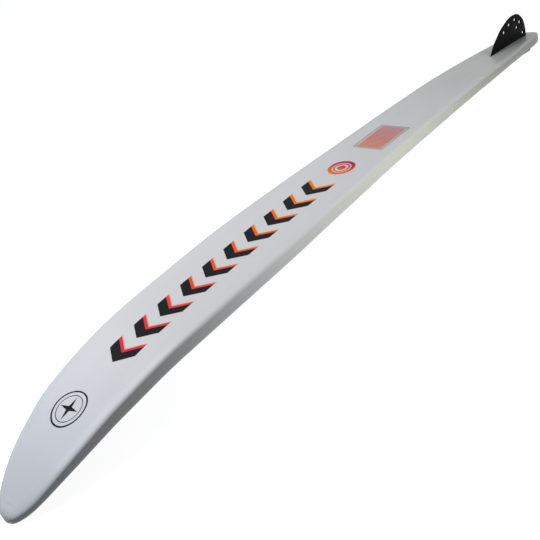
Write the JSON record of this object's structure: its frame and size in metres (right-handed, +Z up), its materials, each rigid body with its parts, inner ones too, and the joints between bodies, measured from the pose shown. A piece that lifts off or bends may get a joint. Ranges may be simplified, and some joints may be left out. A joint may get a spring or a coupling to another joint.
{
  "type": "slalom water ski",
  "caption": "Slalom water ski lying on its deck, base up, with a drilled fin held in an adjustable block and threaded inserts for two bindings.",
  "frame": {"origin": "bottom centre of the bounding box, on the floor that the tip and the fin block touch", "axes": "+X along the ski towards its tip, +Y across it, +Z up, which is the side of the base and the fin"},
  "size_m": [1.7048, 0.19, 0.1101],
  "materials": {
    "base_gelcoat": "glossy white gelcoat over glass laminate",
    "deck_gelcoat": "satin black top coat over glass laminate",
    "foam": "closed-cell polyurethane foam",
    "laminate_plate": "pressed glass laminate",
    "brass": "turned brass",
    "black_anodised": "black anodised aluminium, satin",
    "bare_aluminium": "machined aluminium",
    "steel": "stainless steel, turned"
  },
  "bodies": {
    "ski": {"bottom_skin": "base_gelcoat", "deck_skin": "deck_gelcoat", "foam_core": "foam", "fin_slot_block": "laminate_plate", "front_insert_plate": "laminate_plate", "rear_insert_plate": "laminate_plate", "fin_block_body": "black_anodised", "front_insert_1": "brass", "front_insert_2": "brass", "front_insert_3": "brass", "front_insert_4": "brass", "front_insert_5": "brass", "front_insert_6": "brass", "front_insert_7": "brass", "front_insert_8": "brass", "rear_insert_1": "brass", "rear_insert_2": "brass", "rear_insert_3": "brass", "rear_insert_4": "brass", "rear_insert_5": "brass", "rear_insert_6": "brass", "rear_insert_7": "brass", "rear_insert_8": "brass", "block_insert_1": "brass", "block_insert_2": "brass", "block_insert_3": "brass", "block_insert_4": "brass", "block_insert_5": "brass", "block_insert_6": "brass", "block_screw_1": "steel", "block_screw_2": "steel", "block_screw_3": "steel", "block_screw_4": "steel", "block_screw_5": "steel", "block_screw_6": "steel"},
    "travel_screw": {"travel_screw": "steel", "travel_screw_collar": "steel"},
    "carriage": {"carriage_bar": "bare_aluminium"},
    "depth_screw_front": {"depth_screw_front": "steel"},
    "depth_screw_rear": {"depth_screw_rear": "steel"},
    "fin": {"fin_blade": "black_anodised", "hanger_front": "bare_aluminium", "hanger_rear": "bare_aluminium", "hanger_pin_front": "steel", "hanger_pin_rear": "steel"},
    "clamp": {"clamp_plate": "bare_aluminium"},
    "clamp_screw_front": {"clamp_screw_front": "steel"},
    "clamp_screw_rear": {"clamp_screw_rear": "steel"}
  },
  "joints": [
    {"name": "carriage_slide", "type": "slide", "parent": "ski", "child": "carriage", "axis": [0.9939, 0, 0.1099], "range_m": [-0.005, 0.005]},
    {"name": "travel_screw_turn", "type": "hinge", "parent": "ski", "child": "travel_screw", "pos_m": [-0.64089, 0, 0.02176], "axis": [0.9939, 0, 0.1099], "range_deg": [-2572.43, 2572.43]},
    {"name": "fin_depth", "type": "slide", "parent": "carriage", "child": "fin", "axis": [-0.1099, 0, 0.9939], "range_m": [-0.003, 0.003]},
    {"name": "depth_screw_front_turn", "type": "hinge", "parent": "carriage", "child": "depth_screw_front", "pos_m": [-0.68306, 0, 0.0183], "axis": [0.1099, 0, -0.9939], "range_deg": [-1543.86, 1543.86]},
    {"name": "depth_screw_rear_turn", "type": "hinge", "parent": "carriage", "child": "depth_screw_rear", "pos_m": [-0.77053, 0, 0.00863], "axis": [0.1099, 0, -0.9939], "range_deg": [-1543.86, 1543.86]},
    {"name": "clamp_slide", "type": "slide", "parent": "ski", "child": "clamp", "axis": [0, 1, 0], "range_m": [0, 0.0008]},
    {"name": "clamp_screw_front_turn", "type": "hinge", "parent": "clamp", "child": "clamp_screw_front", "pos_m": [-0.70786, 0.0084, 0.02421], "axis": [0, 1, 0], "range_deg": [-1, 289]},
    {"name": "clamp_screw_rear_turn", "type": "hinge", "parent": "clamp", "child": "clamp_screw_rear", "pos_m": [-0.74762, 0.0084, 0.01981], "axis": [0, 1, 0], "range_deg": [-1, 289]}
  ],
  "couplings": [
    {"joint": "travel_screw_turn", "follows": "carriage_slide", "rad_per_m": -8976},
    {"joint": "depth_screw_front_turn", "follows": "fin_depth", "rad_per_m": 8976},
    {"joint": "depth_screw_rear_turn", "follows": "fin_depth", "rad_per_m": 8976},
    {"joint": "clamp_screw_front_turn", "follows": "clamp_slide", "rad_per_m": 6283.2},
    {"joint": "clamp_screw_rear_turn", "follows": "clamp_slide", "rad_per_m": 6283.2}
  ]
}
